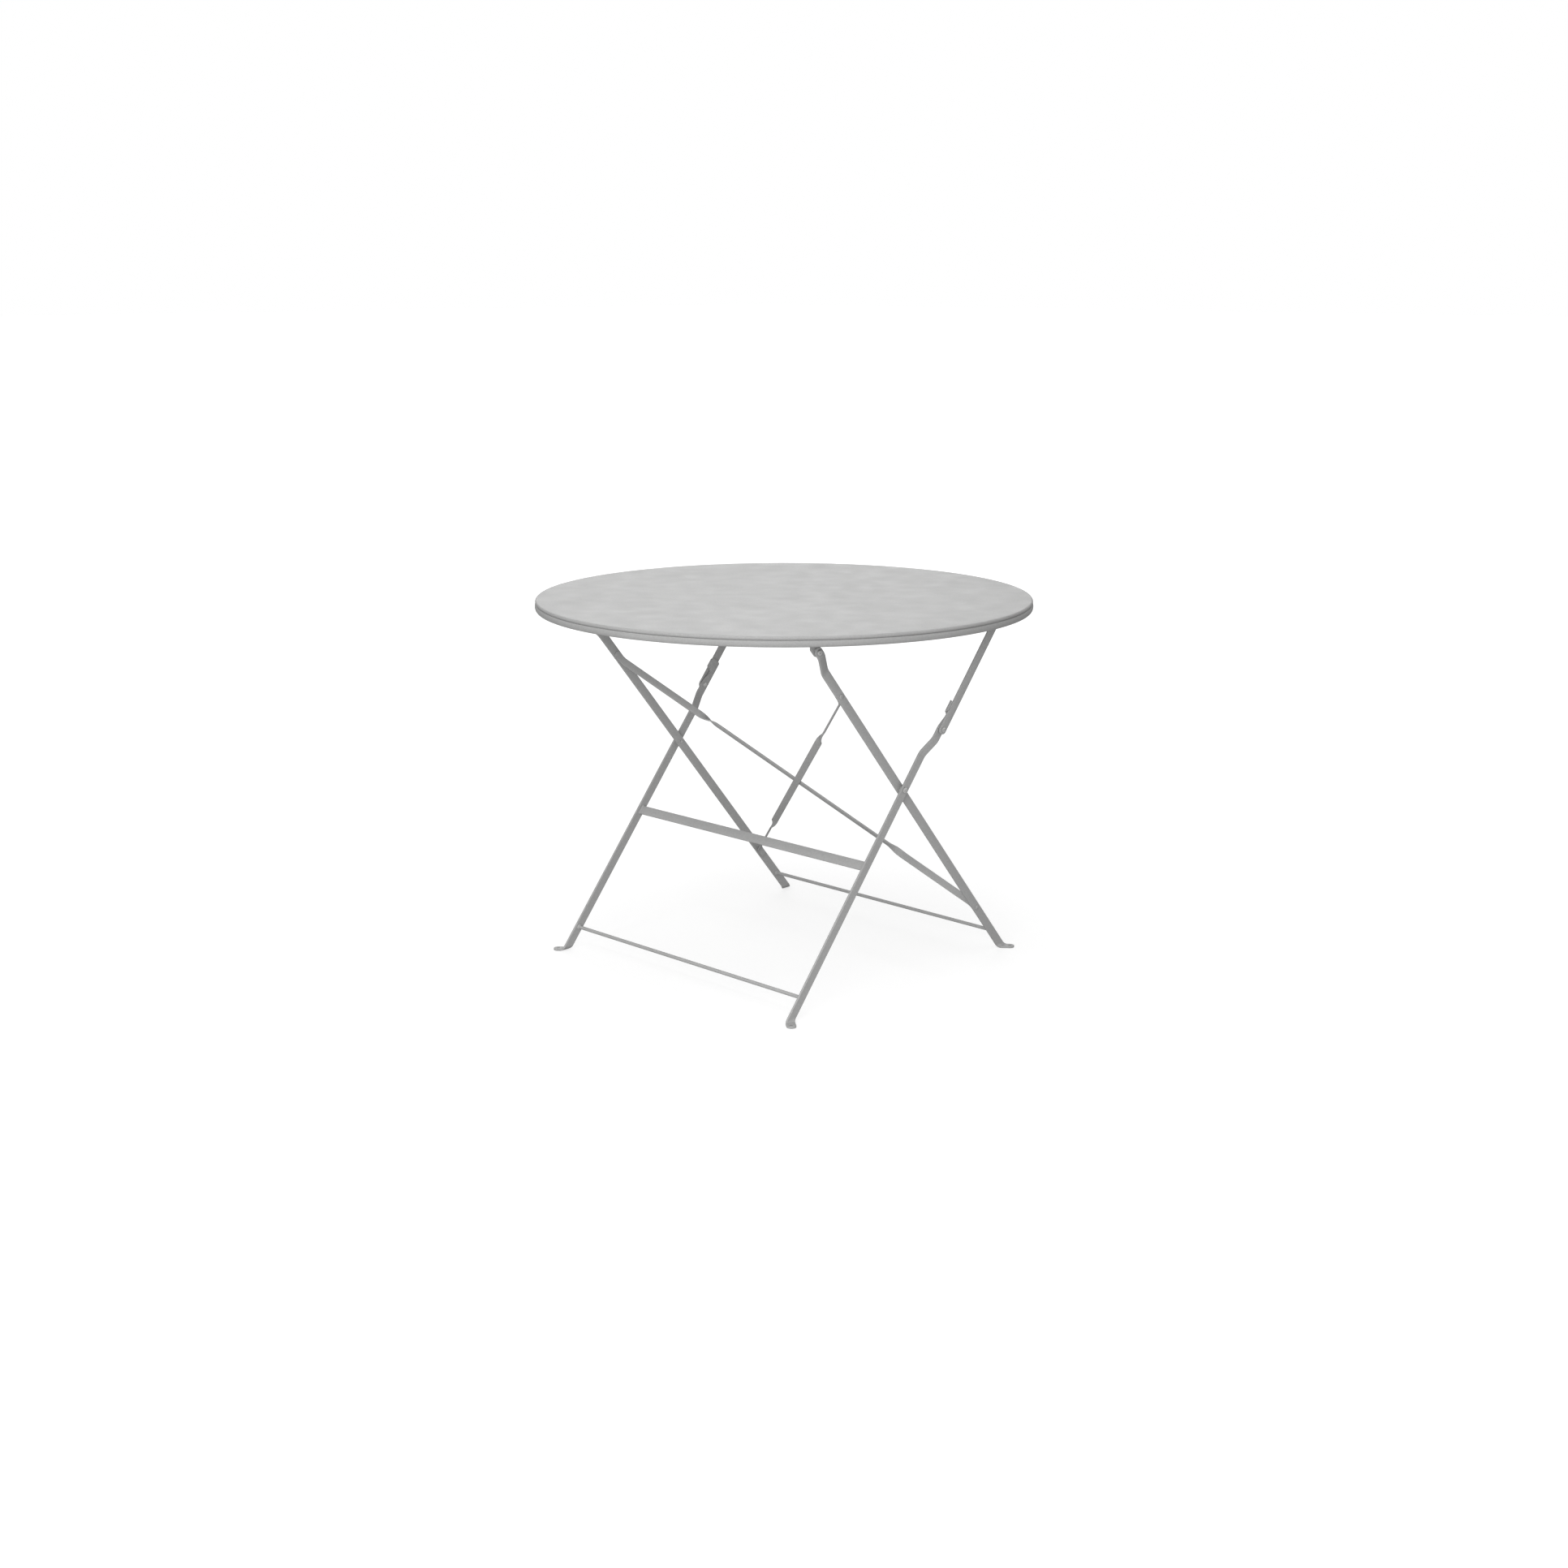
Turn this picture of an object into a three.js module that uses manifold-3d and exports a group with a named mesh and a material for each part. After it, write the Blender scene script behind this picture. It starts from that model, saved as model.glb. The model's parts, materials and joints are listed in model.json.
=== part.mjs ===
// Round folding bistro table: a pressed steel top on two crossing frames of flat bar, with a
// braced knee strut on each side. Millimetres. +X runs from the left pair of legs to the right
// pair, +Y from the feet of frame B to the feet of frame A, +Z up. The origin is on the floor,
// under the middle of the top. The table stands open, with its knees locked.
import * as THREE from 'three';
import { mergeVertices } from 'three/addons/utils/BufferGeometryUtils.js';
import Module from 'manifold-3d';

// Top
const TOP_RADIUS = 480;
const TOP_HEIGHT = 718;
const RIM_HEIGHT = 19;
const SHEET = 1.5;
const SKIRT_HEIGHT = 6.4;
const SKIRT_TUCK = 1.2;
const SHOULDER_RADIUS = 4;
const HOOP_WIDTH = 7;
const HOOP_BULGE = 3.4;
const TOP_SEGMENTS = 96;
const RAIL = { x: 293, width: 26, thickness: 4, length: 620 };

// Flat bar of the legs, struts and crossbar
const BAR_WIDTH = 18;
const BAR_THICKNESS = 4;
const GAP = 0.3;

// Side view, as [y, z]
const FOOT_A = [321, 0];
const FOOT_B = [-309, 0];
const CROSSING = [2.5, 382.5];
const HINGE_HEIGHT = 676.5;
const HINGE_B_Y = 246.3;
const KNEE_ABOVE_CROSSING = 137.8;
const KNEE_OVER_CENTRE = 3.2;

// Distances of the bars' mid-planes from the middle of the table
const LEG_A_X = 301;
const LEG_A_HINGE_X = 320;
const LEG_B_X = 311;
const LEG_B_KNEE_X = 323;
const STRUT_X = 327.5;

// Jogs and feet. Leg A's jog ends just short of its hinge, leg B's starts above the crossing.
const LEG_A_JOG = { length: 45, belowHinge: 11 };
const LEG_B_JOG = { length: 34, aboveCrossing: 80 };
const FOOT_BEND = 7;
const FOOT_HOLE_REACH = 15;
const FOOT_HOLE_RADIUS = 3;
const LEG_B_PAST_KNEE = 58;
const STOP = { start: 36.5, end: 57, thickness: 2.8, bend: 5, clearance: 0.3 };

// Cross members, by their distance along the leg from its foot
const ROD_RADIUS = 3.5;
const ROD_A_ALONG = 56;
const ROD_B_ALONG = 54;
const CROSSBAR_ALONG = 328;
const BRACE = { width: 14, thickness: 3, top: 747, bottom: 143, tab: 24, twist: 46 };
// How far down each strip its two quarter twists are, as a share of its length, and which way
// each one turns
const FRONT_TWISTS = [{ at: 0.225, turn: -1 }, { at: 0.8, turn: -1 }];
const BACK_TWISTS = [{ at: 0.245, turn: 1 }, { at: 0.785, turn: -1 }];

const RIVETS_ALONG = {
  upper: BRACE.top + BRACE.tab / 2,
  lower: BRACE.bottom - BRACE.tab / 2,
};

// Rivets and pivots
const BRACE_RIVET = { radius: 2.5, headRadius: 5, headHeight: 2 };
const PIVOT = { radius: 3, headRadius: 6, headHeight: 3 };
const KNEE_PIVOT = { radius: 3, headRadius: 5, headHeight: 2.4 };
const HOLE_RADIUS = 3.4;
const WASHER = { radius: 7, thickness: 1.4 };
const SPACER_RADIUS = 7.5;
const NUT = { radius: 5.8, thickness: 5 };
const EAR = { thickness: 3, radius: 9, wide: 16, corner: 4.5 };
const ROUND = 20;

// Tools that cut the bars of one side run in x from inside frame A to outside the struts.
const CUT_FROM = 280;
const CUT_TO = 340;

const wasm = await Module();
wasm.setup();

const COLOURS = {
  top: { color: 0xa6a6a5, roughness: 0.5, metalness: 0.1 },
  frame: { color: 0x999998, roughness: 0.55, metalness: 0.1 },
  bright: { color: 0xdadad8, roughness: 0.25, metalness: 0.9 },
};
const table = new THREE.Group();

function addPart(name, finish, geometry) {
  const mesh = new THREE.Mesh(geometry, new THREE.MeshStandardMaterial(COLOURS[finish]));
  mesh.name = name;
  table.add(mesh);
}

// ---- Solids ---------------------------------------------------------------------------------

function solidOf(geometry) {
  const bare = geometry.clone();
  bare.deleteAttribute('normal');
  bare.deleteAttribute('uv');
  const merged = mergeVertices(bare, 1e-4);
  return new wasm.Manifold(new wasm.Mesh({
    numProp: 3,
    vertProperties: new Float32Array(merged.attributes.position.array),
    triVerts: new Uint32Array(merged.index.array),
  }));
}

function geometryOf(solid) {
  const mesh = solid.getMesh();
  const geometry = new THREE.BufferGeometry();
  geometry.setAttribute('position', new THREE.BufferAttribute(mesh.vertProperties, 3));
  geometry.setIndex(new THREE.BufferAttribute(mesh.triVerts, 1));
  return geometry;
}

function cut(geometry, cutters) {
  return geometryOf(cutters.map(solidOf).reduce((left, cutter) => left.subtract(cutter), solidOf(geometry)));
}

function join(geometry, other) {
  return geometryOf(solidOf(geometry).add(solidOf(other)));
}

// Everything off the middle is made for the right side, and turned over for the left one.
function mirrored(geometry) {
  const copy = geometry.clone();
  copy.scale(-1, 1, 1);
  if (!copy.index) {
    const count = copy.attributes.position.count;
    copy.setIndex([...Array(count).keys()]);
  }
  const index = copy.index.array;
  for (let i = 0; i < index.length; i += 3) {
    [index[i], index[i + 1]] = [index[i + 1], index[i]];
  }
  return copy;
}

function addPair(name, finish, geometry) {
  addPart(`${name}_left`, finish, mirrored(geometry));
  addPart(`${name}_right`, finish, geometry);
}

// A disc or rod along X, from x0 to x1, about the side view point [y, z]
function discX(radius, x0, x1, [y, z]) {
  const disc = new THREE.CylinderGeometry(radius, radius, x1 - x0, ROUND);
  disc.rotateZ(-Math.PI / 2);
  disc.translate((x0 + x1) / 2, y, z);
  return disc;
}

function ringX(radius, hole, x0, x1, centre) {
  return cut(discX(radius, x0, x1, centre), [discX(hole, x0 - 1, x1 + 1, centre)]);
}

// A domed head with its shank, turned about X. The head sits at headX and looks along +X when
// the shank ends at a lower x, and along -X otherwise.
function rivet(headX, endX, centre, { radius, headRadius, headHeight } = PIVOT) {
  const length = Math.abs(headX - endX);
  const side = 0.4;
  const steps = 3;
  const profile = [[0, -length], [radius, -length], [radius, 0], [headRadius, 0]];
  for (let i = 0; i < steps; i++) {
    const angle = (i / steps) * Math.PI / 2;
    profile.push([headRadius * Math.cos(angle), side + (headHeight - side) * Math.sin(angle)]);
  }
  profile.push([0, headHeight]);
  const turned = new THREE.LatheGeometry(profile.map(([x, y]) => new THREE.Vector2(x, y)), ROUND);
  turned.rotateZ(headX > endX ? -Math.PI / 2 : Math.PI / 2);
  turned.translate(headX, ...centre);
  return turned;
}

function extrude(shape, depth) {
  return new THREE.ExtrudeGeometry(shape, { depth, bevelEnabled: false, curveSegments: ROUND / 2 });
}

// A plate drawn in side view, y across and z up, from x0 to x1
function plateX(shape, x0, x1) {
  const plate = extrude(shape, x1 - x0);
  const sideView = new THREE.Matrix4().makeBasis(
    new THREE.Vector3(0, 1, 0), new THREE.Vector3(0, 0, 1), new THREE.Vector3(1, 0, 0));
  plate.applyMatrix4(sideView);
  plate.translate(x0, 0, 0);
  return plate;
}

// The corners to take off a bar's end to round it: a block past the centre, less a half disc
function endTrim(radius) {
  const reach = radius * 3;
  const shape = new THREE.Shape();
  shape.moveTo(0, -radius);
  shape.absarc(0, 0, radius, -Math.PI / 2, Math.PI / 2, false);
  shape.lineTo(0, reach);
  shape.lineTo(reach, reach);
  shape.lineTo(reach, -reach);
  shape.lineTo(0, -reach);
  return shape;
}

function trimX(centre, angle, x0, x1) {
  const trim = plateX(endTrim(BAR_WIDTH / 2), x0, x1);
  trim.translate(-x0, 0, 0);
  trim.rotateX(angle);
  trim.translate(x0, ...centre);
  return trim;
}

// ---- Legs -----------------------------------------------------------------------------------

// The line of a leg in side view: distances along it count up from the foot, and distances
// across it count a quarter turn anticlockwise from that, seen with +Y to the right.
function legLine(foot) {
  const length = Math.hypot(CROSSING[0] - foot[0], CROSSING[1] - foot[1]);
  const dy = (CROSSING[0] - foot[0]) / length;
  const dz = (CROSSING[1] - foot[1]) / length;
  return {
    foot, dy, dz, crossing: length, angle: Math.atan2(dz, dy),
    at: (along, across = 0) => [foot[0] + along * dy - across * dz, along * dz + across * dy],
  };
}

const legA = legLine(FOOT_A);
const legB = legLine(FOOT_B);
const HINGE_A = legA.at(HINGE_HEIGHT / legA.dz);
const HINGE_B = [HINGE_B_Y, HINGE_HEIGHT];
const KNEE = legB.at(legB.crossing + KNEE_ABOVE_CROSSING, -KNEE_OVER_CENTRE);

// Below the bend the bar is folded outwards about a line along Y, to lie flat on the floor.
function foldFoot(outward, z) {
  const bendStart = FOOT_BEND + BAR_THICKNESS / 2;
  const run = bendStart - z;
  if (run <= 0) return [outward, z];
  const quarter = FOOT_BEND * Math.PI / 2;
  const angle = Math.min(run, quarter) / FOOT_BEND;
  const flat = Math.max(run - quarter, 0);
  const reach = FOOT_BEND - outward;
  return [FOOT_BEND + flat - reach * Math.cos(angle), bendStart - reach * Math.sin(angle)];
}

// A leg from its foot to `top`. One jog takes it outwards from x to jogX, and by `shift` across.
function legBar(line, top, x, jogX, jogStart, jogLength, shift = 0) {
  const foldLength = FOOT_HOLE_REACH - FOOT_BEND + BAR_WIDTH / 2 + 1;
  const lowest = FOOT_BEND + BAR_THICKNESS / 2 - FOOT_BEND * Math.PI / 2 - foldLength;
  const rows = [lowest / line.dz];
  for (let i = 0; i <= 6; i++) {
    rows.push((FOOT_BEND + BAR_THICKNESS / 2 - FOOT_BEND * (1 - i / 6) * Math.PI / 2) / line.dz);
  }
  rows.push(BAR_WIDTH * 2, BAR_WIDTH * 4, jogStart, jogStart + jogLength, top);
  const bar = new THREE.BoxGeometry(BAR_WIDTH, BAR_THICKNESS, 1, 1, 1, rows.length - 1);
  const corners = bar.attributes.position;
  for (let i = 0; i < corners.count; i++) {
    const across = corners.getX(i);
    const row = rows[Math.round((corners.getZ(i) + 0.5) * (rows.length - 1))];
    // The rows near the foot lie level, along the fold
    const along = row <= BAR_WIDTH * 2 ? row - across * line.dy / line.dz : row;
    const jog = THREE.MathUtils.clamp((along - jogStart) / jogLength, 0, 1);
    const [y, z] = line.at(along, across + jog * shift);
    const [outward, height] = foldFoot(corners.getY(i), z);
    corners.setXYZ(i, x + jog * (jogX - x) + outward, y, height);
  }
  return bar;
}

function footHole(line, x) {
  const bendStart = FOOT_BEND + BAR_THICKNESS / 2;
  const drop = FOOT_HOLE_REACH - FOOT_BEND + FOOT_BEND * Math.PI / 2 - bendStart;
  const [y] = line.at(-drop / line.dz);
  const depth = BAR_THICKNESS * 4;
  const hole = new THREE.CylinderGeometry(FOOT_HOLE_RADIUS, FOOT_HOLE_RADIUS, depth, ROUND);
  hole.rotateX(Math.PI / 2);
  hole.translate(x + FOOT_HOLE_REACH, y, 0);
  const trim = extrude(endTrim(BAR_WIDTH / 2), depth);
  trim.rotateZ(Math.atan2(-line.dy, line.dz));
  trim.translate(x + FOOT_HOLE_REACH, y, -depth / 2);
  return [hole, trim];
}

function makeLegA() {
  const hinge = HINGE_HEIGHT / legA.dz;
  const { length, belowHinge } = LEG_A_JOG;
  const bar = legBar(legA, hinge + BAR_WIDTH, LEG_A_X, LEG_A_HINGE_X,
    hinge - belowHinge - length, length);
  const rivets = Object.values(RIVETS_ALONG);
  return cut(bar, [
    ...footHole(legA, LEG_A_X),
    trimX(HINGE_A, legA.angle, CUT_FROM, CUT_TO),
    discX(HOLE_RADIUS, CUT_FROM, CUT_TO, HINGE_A),
    discX(HOLE_RADIUS, CUT_FROM, CUT_TO, CROSSING),
    ...rivets.map((along) => discX(BRACE_RIVET.radius + GAP, CUT_FROM, CUT_TO, legA.at(along))),
  ]);
}

// Past the knee, a frame B leg tapers and then flares into a lip, folded outwards round the
// strut's upper edge. The lip stops the knee just past its straight line.
function makeLegB() {
  const knee = legB.crossing + KNEE_ABOVE_CROSSING;
  const end = knee + LEG_B_PAST_KNEE;
  const bar = legBar(legB, end, LEG_B_X, LEG_B_KNEE_X,
    legB.crossing + LEG_B_JOG.aboveCrossing, LEG_B_JOG.length, -KNEE_OVER_CENTRE);
  const taper = [[-2, 9.4], [30, 2.8], [33.5, 3.6], [36, 6.5], [STOP.start, 13], [-2, 13]]
    .map(([along, across]) => legB.at(knee + along, across - KNEE_OVER_CENTRE));
  return cut(join(bar, makeLip(knee)), [
    ...footHole(legB, LEG_B_X),
    discX(HOLE_RADIUS, CUT_FROM, CUT_TO, CROSSING),
    discX(HOLE_RADIUS, CUT_FROM, CUT_TO, KNEE),
    plateX(new THREE.Shape(taper.map(([y, z]) => new THREE.Vector2(y, z))), CUT_FROM, CUT_TO),
  ]);
}

// The lip's section, drawn as x and the distance across the leg, follows the leg's slope.
function makeLip(knee) {
  const base = LEG_B_KNEE_X - BAR_THICKNESS / 2;
  const face = STRUT_X + BAR_THICKNESS / 2;
  const inside = BAR_WIDTH / 2 + STOP.clearance;
  const outside = inside + STOP.thickness;
  const section = new THREE.Shape();
  section.moveTo(base, BAR_WIDTH / 4);
  section.lineTo(base + BAR_THICKNESS, BAR_WIDTH / 4);
  section.lineTo(base + BAR_THICKNESS, inside);
  section.lineTo(face, inside);
  section.lineTo(face, outside);
  section.absarc(base + STOP.bend, outside - STOP.bend, STOP.bend, Math.PI / 2, Math.PI, false);
  const lip = extrude(section, STOP.end - STOP.start);
  lip.applyMatrix4(new THREE.Matrix4().makeBasis(new THREE.Vector3(1, 0, 0),
    new THREE.Vector3(0, -legB.dz, legB.dy), new THREE.Vector3(0, -legB.dy, -legB.dz)));
  lip.translate(0, ...legB.at(knee + STOP.end, -KNEE_OVER_CENTRE));
  return lip;
}

// ---- Struts ---------------------------------------------------------------------------------

function makeStrut() {
  const inner = STRUT_X - BAR_THICKNESS / 2;
  const outer = STRUT_X + BAR_THICKNESS / 2;
  const angle = Math.atan2(HINGE_B[1] - KNEE[1], HINGE_B[0] - KNEE[0]);
  const length = Math.hypot(HINGE_B[1] - KNEE[1], HINGE_B[0] - KNEE[0]);
  const shape = new THREE.Shape();
  shape.absarc(length, 0, BAR_WIDTH / 2, -Math.PI / 2, Math.PI / 2, false);
  shape.absarc(0, 0, BAR_WIDTH / 2, Math.PI / 2, Math.PI * 3 / 2, false);
  const bar = plateX(shape, 0, outer - inner);
  bar.rotateX(angle);
  bar.translate(inner, ...KNEE);
  return cut(bar, [
    discX(HOLE_RADIUS, inner - 1, outer + 1, KNEE),
    discX(HOLE_RADIUS, inner - 1, outer + 1, HINGE_B),
  ]);
}

// ---- Braces ---------------------------------------------------------------------------------

// A strip that runs down from the left leg to the right one in frame A's plane. Its ends stand
// on edge and lie along the legs; a quarter twist near each end lays its middle flat in the
// plane of the frame, where `side` says in front of or behind the other strip.
function makeBrace(side, twists) {
  const inside = LEG_A_X - BAR_THICKNESS / 2 - GAP - BRACE.thickness / 2;
  const diagonal = new THREE.Vector2(2 * inside, BRACE.bottom - BRACE.top);
  const half = BRACE.twist / 2 / diagonal.length();
  const steps = 12;
  const [upper, lower] = twists;
  const path = [[-inside, BRACE.top + BRACE.tab, upper.turn], [-inside, BRACE.top, upper.turn]];
  for (const { at, turn } of twists) {
    for (let i = 0; i <= steps; i++) {
      const part = at - half + (2 * half * i) / steps;
      const edge = at === upper.at ? 1 - i / steps : i / steps;
      path.push([-inside + part * diagonal.x, BRACE.top + part * diagonal.y, turn * edge]);
    }
  }
  path.push([inside, BRACE.bottom, lower.turn], [inside, BRACE.bottom - BRACE.tab, lower.turn]);

  const normal = new THREE.Vector3(0, -legA.dz, legA.dy);
  const strip = new THREE.BoxGeometry(BRACE.width, BRACE.thickness, 1, 1, 1, path.length - 1);
  const corners = strip.attributes.position;
  const place = ([x, along]) => new THREE.Vector3(x, ...legA.at(along));
  for (let i = 0; i < corners.count; i++) {
    const row = Math.round((corners.getZ(i) + 0.5) * (path.length - 1));
    const [x, along, edge] = path[row];
    const before = place(path[Math.max(row - 1, 0)]);
    const after = place(path[Math.min(row + 1, path.length - 1)]);
    const here = place([x, along]);
    const into = here.clone().sub(before).normalize();
    const onward = after.sub(here).normalize();
    const tangent = into.clone().add(onward).normalize();
    const miter = row > 0 && row < path.length - 1 ? 1 / Math.max(tangent.dot(onward), 0.5) : 1;
    const inPlane = new THREE.Vector3().crossVectors(normal, tangent).multiplyScalar(miter);
    const sin = Math.sin(edge * Math.PI / 2);
    const cos = Math.cos(edge * Math.PI / 2);
    const width = normal.clone().multiplyScalar(sin).addScaledVector(inPlane, cos);
    const thick = normal.clone().multiplyScalar(cos).addScaledVector(inPlane, -sin);
    const rise = side * (1 - Math.abs(edge)) * (BRACE.thickness / 2 + GAP / 2);
    here.addScaledVector(width, corners.getX(i)).addScaledVector(thick, corners.getY(i));
    here.addScaledVector(normal, rise);
    corners.setXYZ(i, here.x, here.y, here.z);
  }
  const hole = BRACE_RIVET.radius + GAP;
  return cut(strip, [
    discX(hole, -LEG_A_X, -inside + BAR_WIDTH, legA.at(RIVETS_ALONG.upper)),
    discX(hole, inside - BAR_WIDTH, LEG_A_X, legA.at(RIVETS_ALONG.lower)),
  ]);
}

// ---- Top ------------------------------------------------------------------------------------

function makeTopSheet() {
  const outer = TOP_RADIUS - 0.8;
  const profile = [[0, TOP_HEIGHT]];
  for (let i = 0; i <= 4; i++) {
    const angle = (i / 4) * Math.PI / 2;
    profile.push([outer - SHOULDER_RADIUS * (1 - Math.sin(angle)),
      TOP_HEIGHT - SHOULDER_RADIUS * (1 - Math.cos(angle))]);
  }
  const hem = outer - SKIRT_TUCK;
  profile.push([hem, TOP_HEIGHT - SKIRT_HEIGHT], [hem - SHEET, TOP_HEIGHT - SKIRT_HEIGHT]);
  profile.push([outer - SHEET, TOP_HEIGHT - SHOULDER_RADIUS]);
  profile.push([outer - SHOULDER_RADIUS, TOP_HEIGHT - SHEET], [0, TOP_HEIGHT - SHEET]);
  return new THREE.LatheGeometry(
    profile.reverse().map(([r, z]) => new THREE.Vector2(r, z)), TOP_SEGMENTS).rotateX(Math.PI / 2);
}

// A bar with a bulging outer side, and a small chamfer along its inner edges
function makeRimHoop() {
  const top = TOP_HEIGHT - SKIRT_HEIGHT - GAP;
  const bottom = TOP_HEIGHT - RIM_HEIGHT;
  const inner = TOP_RADIUS - HOOP_WIDTH;
  const edge = 1.2;
  const steps = 6;
  const profile = [[inner, bottom + edge], [inner + edge, bottom]];
  for (let i = 0; i <= steps; i++) {
    const angle = (i / steps - 0.5) * Math.PI;
    profile.push([TOP_RADIUS - HOOP_BULGE * (1 - Math.cos(angle)),
      (top + bottom) / 2 + (top - bottom) / 2 * Math.sin(angle)]);
  }
  profile.push([inner + edge, top], [inner, top - edge], [inner, bottom + edge]);
  return new THREE.LatheGeometry(
    profile.map(([r, z]) => new THREE.Vector2(r, z)), TOP_SEGMENTS).rotateX(Math.PI / 2);
}

// A rail lies under the sheet on each side, and a bracket under each of its ends carries a hinge.
const railTop = TOP_HEIGHT - SHEET - GAP;
const railBottom = railTop - RAIL.thickness;

function makeRail() {
  const rail = new THREE.BoxGeometry(RAIL.width, RAIL.length, RAIL.thickness);
  rail.translate(RAIL.x, 0, (railTop + railBottom) / 2);
  return rail;
}

// ---- Hinges ---------------------------------------------------------------------------------

// An L of bent sheet: a flange under the rail, and an ear down past the hinge. The ear is wider
// on the side that `away` points to, and slants in from its lower corner there to its round end.
function makeBracket(hinge, earOuter, away) {
  const flangeTop = railBottom - GAP;
  const flangeBottom = flangeTop - EAR.thickness;
  const top = flangeTop - hinge[1];
  const { radius, wide, corner } = EAR;
  const slant = Math.atan2(corner, wide) - Math.acos(radius / Math.hypot(wide, corner));
  const outline = [[-radius, top], [wide, top], [wide, corner]];
  const steps = 8;
  for (let i = 0; i <= steps; i++) {
    const angle = slant - (i / steps) * (Math.PI + slant);
    outline.push([radius * Math.cos(angle), radius * Math.sin(angle)]);
  }
  const shape = new THREE.Shape(outline.map(([y, z]) => new THREE.Vector2(away * y, z)));
  const ear = plateX(shape, 0, EAR.thickness);
  ear.translate(earOuter - EAR.thickness, ...hinge);
  const inner = RAIL.x - RAIL.width / 2 + 2;
  const flange = new THREE.BoxGeometry(earOuter - inner, wide + radius, EAR.thickness);
  flange.translate((earOuter + inner) / 2, hinge[0] + away * (wide - radius) / 2,
    (flangeTop + flangeBottom) / 2);
  return cut(join(ear, flange), [discX(HOLE_RADIUS, earOuter - 10, earOuter + 10, hinge)]);
}

// Washer, bolt and nut that hold a bar to its ear; the bar's inner face is at barInner.
function addHinge(name, barX, hinge, away) {
  const barInner = barX - BAR_THICKNESS / 2;
  const barOuter = barX + BAR_THICKNESS / 2;
  const earOuter = barInner - WASHER.thickness - 2 * GAP;
  const earInner = earOuter - EAR.thickness;
  const end = earInner - GAP - NUT.thickness - 1;
  addPair(`bracket_${name}`, 'frame', makeBracket(hinge, earOuter, away));
  addPair(`hinge_washer_${name}`, 'bright',
    ringX(WASHER.radius, HOLE_RADIUS, earOuter + GAP, earOuter + GAP + WASHER.thickness, hinge));
  addPair(`hinge_bolt_${name}`, 'bright', rivet(barOuter + GAP, end, hinge));
  const nut = new THREE.CylinderGeometry(NUT.radius, NUT.radius, NUT.thickness, 6);
  nut.rotateZ(-Math.PI / 2);
  nut.translate(earInner - GAP - NUT.thickness / 2, ...hinge);
  addPair(`hinge_nut_${name}`, 'bright', cut(nut, [discX(HOLE_RADIUS, end - 1, earInner, hinge)]));
}

// ---- Assembly -------------------------------------------------------------------------------

addPart('top_sheet', 'top', makeTopSheet());
addPart('rim_hoop', 'top', makeRimHoop());
addPair('top_rail', 'frame', makeRail());
addHinge('a', LEG_A_HINGE_X, HINGE_A, -1);
addHinge('b', STRUT_X, HINGE_B, 1);

function rodBetween(line, along, innerFace) {
  return discX(ROD_RADIUS, GAP - innerFace, innerFace - GAP, line.at(along));
}

addPair('leg_a', 'frame', makeLegA());
addPart('low_rod_a', 'frame', rodBetween(legA, ROD_A_ALONG, LEG_A_X - BAR_THICKNESS / 2));
addPart('brace_front', 'frame', mirrored(makeBrace(1, FRONT_TWISTS)));
addPart('brace_back', 'frame', makeBrace(-1, BACK_TWISTS));
for (const [name, along] of Object.entries(RIVETS_ALONG)) {
  const outer = LEG_A_X + BAR_THICKNESS / 2 + GAP;
  const inner = LEG_A_X - BAR_THICKNESS / 2 - GAP * 2 - BRACE.thickness;
  addPair(`brace_rivet_${name}`, 'frame', rivet(outer, inner, legA.at(along), BRACE_RIVET));
}

addPair('leg_b', 'frame', makeLegB());
addPart('low_rod_b', 'frame', rodBetween(legB, ROD_B_ALONG, LEG_B_X - BAR_THICKNESS / 2));
const crossbar = new THREE.BoxGeometry(
  2 * (LEG_B_X - BAR_THICKNESS / 2 - GAP), BAR_WIDTH, BAR_THICKNESS);
crossbar.rotateX(legB.angle);
crossbar.translate(0, ...legB.at(CROSSBAR_ALONG));
addPart('crossbar_b', 'frame', crossbar);

addPair('crossing_rivet', 'bright',
  rivet(LEG_B_X + BAR_THICKNESS / 2 + GAP, LEG_A_X - BAR_THICKNESS / 2 - 2, CROSSING));
addPair('crossing_spacer', 'bright', ringX(SPACER_RADIUS, HOLE_RADIUS,
  LEG_A_X + BAR_THICKNESS / 2 + GAP, LEG_B_X - BAR_THICKNESS / 2 - GAP, CROSSING));
addPair('knee_rivet_head', 'bright',
  rivet(STRUT_X + BAR_THICKNESS / 2 + GAP, STRUT_X - BAR_THICKNESS / 2, KNEE, KNEE_PIVOT));
addPair('knee_rivet_tail', 'bright',
  rivet(LEG_B_KNEE_X - BAR_THICKNESS / 2 - GAP, LEG_B_KNEE_X + BAR_THICKNESS / 2, KNEE,
    KNEE_PIVOT));
addPair('knee_strut', 'frame', makeStrut());

export default table;
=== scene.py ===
"""A round folding bistro table of powder-coated steel: its looks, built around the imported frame.

Metres. +X runs from the left pair of legs to the right pair, +Y from the feet of frame B to the
feet of frame A, +Z up. Everything off the middle is made for the right side, and turned over for
the left one.
"""
import json
import math

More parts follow.
